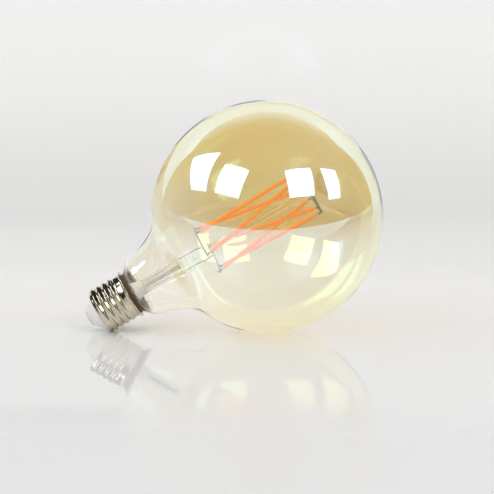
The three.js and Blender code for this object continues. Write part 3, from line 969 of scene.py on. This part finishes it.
def sweep():
    """A white card that curves up behind the lamp; from behind it can be seen through."""
    material, tree, shader = white_card("sweep_card")
    output = next(node for node in tree.nodes if node.type == "OUTPUT_MATERIAL")
    clear = add(tree, "BsdfTransparent").outputs["BSDF"]
    behind = add(tree, "NewGeometry").outputs["Backfacing"]
    mix = add(tree, "MixShader", {0: behind, 1: shader.outputs["BSDF"], 2: clear})
    tree.links.new(mix.outputs["Shader"], output.inputs["Surface"])
    steps = 32
    level = FLOOR_LEVEL + SWEEP_LIFT
    profile = [(SWEEP_START - SWEEP_LEAD_IN, level)]
    for i in range(steps + 1):
        angle = math.pi / 2 * i / steps
        y = SWEEP_START + SWEEP_RADIUS * math.sin(angle)
        profile.append((y, level + SWEEP_RADIUS * (1 - math.cos(angle))))
    profile.append((SWEEP_START + SWEEP_RADIUS, SWEEP_HEIGHT))
    points = [(x, y, z) for x in (-SWEEP_HALF_WIDTH, SWEEP_HALF_WIDTH) for y, z in profile]
    count = len(profile)
    faces = [(i, i + count, i + count + 1, i + 1) for i in range(count - 1)]
    stage_mesh("sweep", points, faces, material).data.shade_smooth()


def black_flag():
    """A black card over the cap, rising away from the camera, seen only in reflections."""
    material, _, shader = new_material("black_flag")
    shader.inputs["Base Color"].default_value = (0.01, 0.01, 0.01, 1)
    shader.inputs["Roughness"].default_value = 1
    corners = (
        (FLAG_LEFT, FLAG_FRONT),
        (FLAG_RIGHT, FLAG_FRONT),
        (FLAG_RIGHT, FLAG_BACK),
        (FLAG_LEFT, FLAG_BACK),
    )
    points = [(x, y, FLAG_HEIGHT + FLAG_RISE * (y - FLAG_FRONT)) for x, y in corners]
    flag = stage_mesh("black_flag", points, [(0, 1, 2, 3)], material)
    flag.visible_camera = False
    flag.visible_diffuse = False
    flag.visible_transmission = False
    flag.visible_shadow = False


def light_panels():
    material = bpy.data.materials.new("softbox_cloth")
    material.use_nodes = True
    tree = material.node_tree
    tree.nodes.clear()
    output = tree.nodes.new("ShaderNodeOutputMaterial")
    glow = add(tree, "Emission", {"Color": (1, 0.99, 0.97, 1), "Strength": PANEL_STRENGTH})
    tree.links.new(glow.outputs[0], output.inputs["Surface"])
    for name, corners in PANELS.items():
        points = [GLOBE + direction(*corner) * PANEL_DISTANCE for corner in corners]
        stage_mesh("softbox_" + name, points, [(0, 1, 2, 3)], material)


def ceiling_light():
    """Broad soft light from above, kept out of reflections."""
    data = bpy.data.lights.new("ceiling", "AREA")
    data.shape = "SQUARE"
    data.size = CEILING_SIZE
    data.energy = CEILING_POWER
    light = bpy.data.objects.new("ceiling", data)
    light.location = (0, -1, CEILING_HEIGHT)
    light.visible_glossy = False
    light.visible_transmission = False
    light.visible_camera = False
    bpy.context.scene.collection.objects.link(light)


def direction(azimuth, elevation):
    """A unit vector: azimuth in degrees from -Y towards +X, elevation above the table."""
    a, e = math.radians(azimuth), math.radians(elevation)
    return Vector((math.sin(a) * math.cos(e), -math.cos(a) * math.cos(e), math.sin(e)))


def room():
    """A pale backdrop behind the lamp and a dark room round the rest.

    The camera sees all of it as pale, and the glass passes some of that paleness on.
    """
    world = bpy.data.worlds.new("room")
    bpy.context.scene.world = world
    world.use_nodes = True
    tree = world.node_tree
    tree.nodes.clear()
    output = tree.nodes.new("ShaderNodeOutputWorld")
    towards = add(tree, "TexCoord").outputs["Generated"]
    parts = add(tree, "SeparateXYZ", {"Vector": towards}).outputs
    grey = spread(tree, parts["Y"], ROOM_GREY, BACKDROP_GREY, *BACKDROP_EDGE)
    edge = spread(tree, parts["Z"], BACKDROP_EDGE[0], BACKDROP_EDGE_OVERHEAD, *OVERHEAD_STRETCH)
    tree.links.new(edge, grey.node.inputs["From Min"])
    path = add(tree, "LightPath").outputs
    through_glass = spread(tree, path["Is Transmission Ray"], 0, ROOM_THROUGH_GLASS, 0, 1)
    paleness = {0: path["Is Camera Ray"], 1: through_glass}
    seen = add(tree, "Math", paleness, operation="MAXIMUM").outputs[0]
    level = tree.nodes.new("ShaderNodeMix")
    tree.links.new(seen, level.inputs[0])
    tree.links.new(grey, level.inputs[2])
    level.inputs[3].default_value = BACKDROP_GREY
    background = add(tree, "Background", {"Color": (1, 1, 1, 1), "Strength": level.outputs[0]})
    tree.links.new(background.outputs[0], output.inputs["Surface"])


def camera():
    back = direction(0, CAMERA_ELEVATION)
    right = Vector((1, 0, 0))
    up = back.cross(right)
    data = bpy.data.cameras.new("camera")
    data.lens = CAMERA_LENS
    data.clip_start, data.clip_end = 0.05, 100
    view = bpy.data.objects.new("camera", data)
    bpy.context.scene.collection.objects.link(view)
    view.location = GLOBE + back * CAMERA_DISTANCE + right * FRAMING_RIGHT + up * FRAMING_UP
    view.rotation_mode = "QUATERNION"
    view.rotation_quaternion = (-back).to_track_quat("-Z", "Y")
    bpy.context.scene.camera = view


table()
sweep()
black_flag()
light_panels()
ceiling_light()
room()
camera()
bpy.context.scene.view_settings.view_transform = "Standard"
